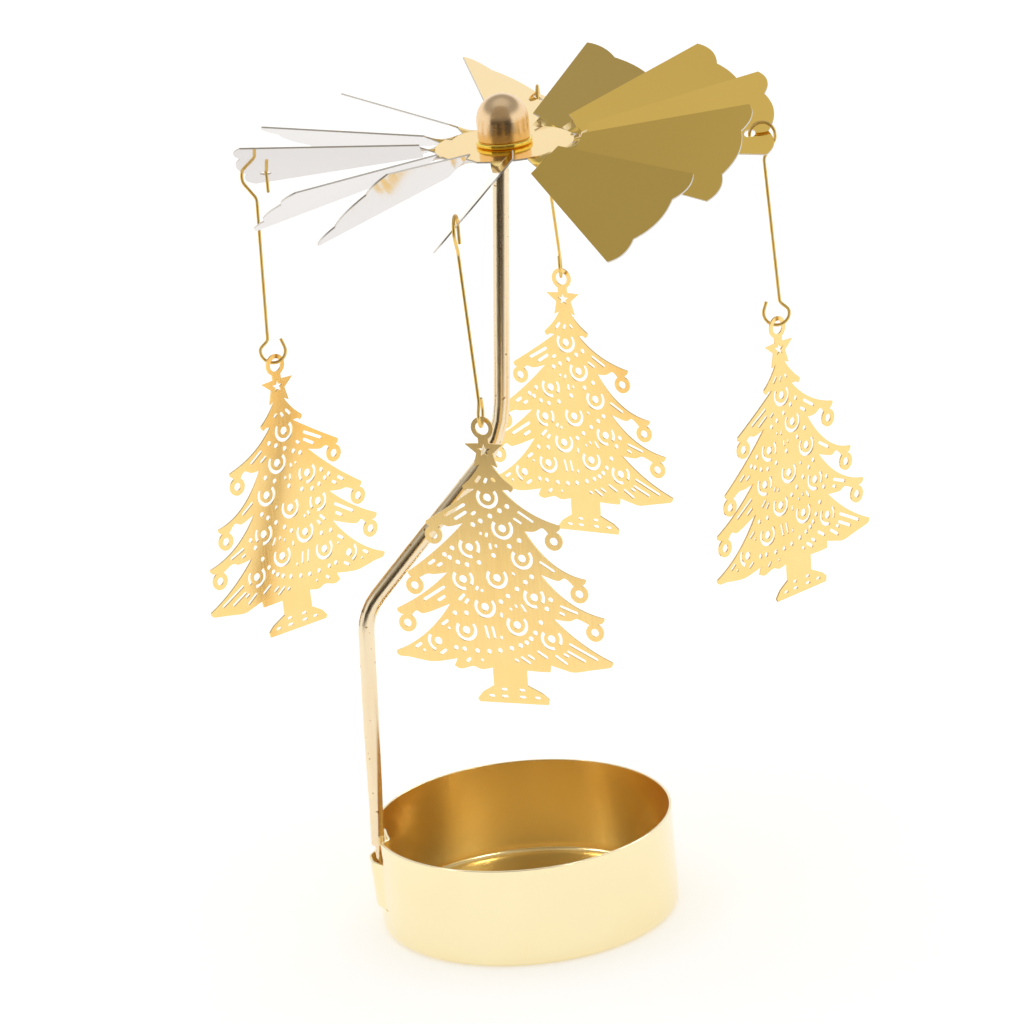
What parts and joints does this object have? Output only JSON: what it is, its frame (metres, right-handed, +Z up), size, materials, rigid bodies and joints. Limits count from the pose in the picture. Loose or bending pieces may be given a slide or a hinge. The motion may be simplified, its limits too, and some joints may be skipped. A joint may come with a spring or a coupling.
{
  "type": "rotating candle holder",
  "caption": "Rotating candle holder: a clip on a candle cup holds a cranked rod, and a finned fan turning on the rod's point carries pierced tree ornaments on wire hooks.",
  "frame": {"origin": "middle of the cup's standing face", "axes": "+Z up, -X towards the side of the clip and the foot of the rod"},
  "size_m": [0.12, 0.1087, 0.1573],
  "materials": {
    "cup": "polished pale gold plate",
    "rod": "polished",
    "cap": "polished",
    "collar": "polished",
    "fan": "mirror polished sheet",
    "hook": "drawn wire",
    "tree": "satin etched sheet"
  },
  "bodies": {
    "cup": {"candle_cup": "cup"},
    "rod": {"support_rod": "rod"},
    "rotor": {"pivot_cap": "cap", "cap_collar": "collar", "fan": "fan"},
    "right_hook": {"hook_right": "hook"},
    "back_hook": {"hook_back": "hook"},
    "left_hook": {"hook_left": "hook"},
    "front_hook": {"hook_front": "hook"},
    "right_tree": {"tree_right": "tree"},
    "back_tree": {"tree_back": "tree"},
    "left_tree": {"tree_left": "tree"},
    "front_tree": {"tree_front": "tree"}
  },
  "joints": [
    {"name": "rod_pull", "type": "slide", "parent": "cup", "child": "rod", "axis": [0.0478, 0.0098, 0.9988], "range_m": [0, 0.008]},
    {"name": "rotor_spin", "type": "hinge", "parent": "rod", "child": "rotor", "pos_m": [0.00846, 0, 0.15635], "axis": [0, 0, 1], "continuous": true},
    {"name": "right_swing", "type": "hinge", "parent": "rotor", "child": "right_hook", "pos_m": [0.05466, -0.00203, 0.14707], "axis": [0.0488, -0.9988, 0], "range_deg": [-1, 25]},
    {"name": "back_swing", "type": "hinge", "parent": "rotor", "child": "back_hook", "pos_m": [0.01036, 0.04612, 0.14489], "axis": [0.9988, 0.0488, 0], "range_deg": [-1, 25]},
    {"name": "left_swing", "type": "hinge", "parent": "rotor", "child": "left_hook", "pos_m": [-0.03764, 0.00195, 0.14468], "axis": [-0.0488, 0.9988, 0], "range_deg": [-1, 25]},
    {"name": "front_swing", "type": "hinge", "parent": "rotor", "child": "front_hook", "pos_m": [0.00393, -0.04582, 0.14512], "axis": [-0.9984, 0.0558, 0], "range_deg": [-1, 25]},
    {"name": "right_rock", "type": "hinge", "parent": "right_hook", "child": "right_tree", "pos_m": [0.05466, -0.00203, 0.11177], "axis": [0.9988, 0.0488, 0], "range_deg": [-10, 3]},
    {"name": "back_rock", "type": "hinge", "parent": "back_hook", "child": "back_tree", "pos_m": [0.0115, 0.04737, 0.10959], "axis": [-0.0488, 0.9988, 0], "range_deg": [-10, 3]},
    {"name": "left_rock", "type": "hinge", "parent": "left_hook", "child": "left_tree", "pos_m": [-0.03764, 0.00195, 0.10938], "axis": [-0.9988, -0.0488, 0], "range_deg": [-10, 3]},
    {"name": "front_rock", "type": "hinge", "parent": "front_hook", "child": "front_tree", "pos_m": [0.00512, -0.04588, 0.10982], "axis": [-0.0558, -0.9984, 0], "range_deg": [-10, 3]}
  ]
}
